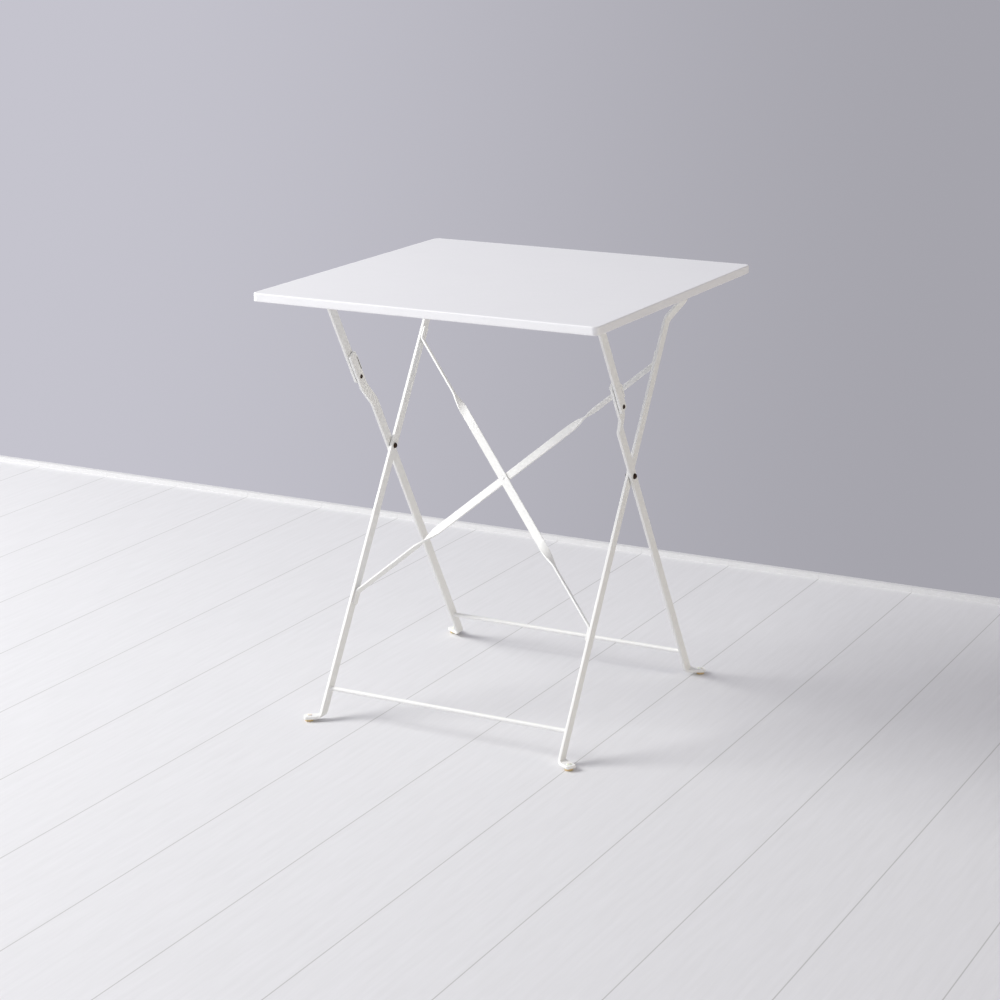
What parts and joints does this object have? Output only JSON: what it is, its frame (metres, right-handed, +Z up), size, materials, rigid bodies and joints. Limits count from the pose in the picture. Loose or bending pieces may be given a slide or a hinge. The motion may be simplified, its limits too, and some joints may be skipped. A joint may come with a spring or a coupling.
{
  "type": "folding table",
  "caption": "Square sheet-steel top on two crossed flat-bar frames that fold flat with it through riveted knees.",
  "frame": {"origin": "on the floor under the middle of the top, table open", "axes": "+X to the right along the front edge of the top, +Y from the front edge to the back edge, +Z up from the floor to the top"},
  "size_m": [0.6, 0.6, 0.718],
  "materials": {
    "top_paint": "satin white powder coat on sheet steel",
    "frame_paint": "satin white powder coat on flat bar and rod",
    "rivet": "dark browned steel, semi-gloss",
    "glide": "translucent amber moulded plastic"
  },
  "bodies": {
    "inner_frame": {"inner_leg_left": "frame_paint", "inner_leg_right": "frame_paint", "inner_crossbar": "frame_paint", "brace_front": "frame_paint", "brace_rear": "frame_paint", "brace_rivet": "frame_paint", "inner_glide_left": "glide", "inner_glide_right": "glide", "main_rivet_left": "rivet", "main_rivet_right": "rivet", "main_washers": "rivet"},
    "outer_frame": {"outer_leg_left": "frame_paint", "outer_leg_right": "frame_paint", "outer_crossbar": "frame_paint", "outer_glide_left": "glide", "outer_glide_right": "glide", "knee_rivet_left": "rivet", "knee_rivet_right": "rivet"},
    "tabletop": {"top_panel": "top_paint", "side_rail_left": "frame_paint", "side_rail_right": "frame_paint", "hinge_rivet_front_left": "rivet", "hinge_rivet_front_right": "rivet", "hinge_rivet_back_left": "rivet", "hinge_rivet_back_right": "rivet", "hinge_washers": "rivet"},
    "left_link": {"link_left": "frame_paint", "knee_tail_left": "rivet"},
    "right_link": {"link_right": "frame_paint", "knee_tail_right": "rivet"}
  },
  "joints": [
    {"name": "leg_fold", "type": "hinge", "parent": "inner_frame", "child": "outer_frame", "pos_m": [0, 0, 0.4138], "axis": [-1, 0, 0], "range_deg": [0, 59.07]},
    {"name": "top_fold", "type": "hinge", "parent": "inner_frame", "child": "tabletop", "pos_m": [0, 0.1656, 0.689], "axis": [1, 0, 0], "range_deg": [0, 53.3]},
    {"name": "left_link_fold", "type": "hinge", "parent": "tabletop", "child": "left_link", "pos_m": [0, -0.1656, 0.689], "axis": [1, 0, 0], "range_deg": [0, 56.11]},
    {"name": "right_link_fold", "type": "hinge", "parent": "tabletop", "child": "right_link", "pos_m": [0, -0.1656, 0.689], "axis": [1, 0, 0], "range_deg": [0, 56.11]}
  ],
  "couplings": [
    {"joint": "top_fold", "follows": "leg_fold", "ratio": 0.90217},
    {"joint": "left_link_fold", "follows": "leg_fold", "ratio": 0.94964},
    {"joint": "right_link_fold", "follows": "leg_fold", "ratio": 0.94964}
  ]
}
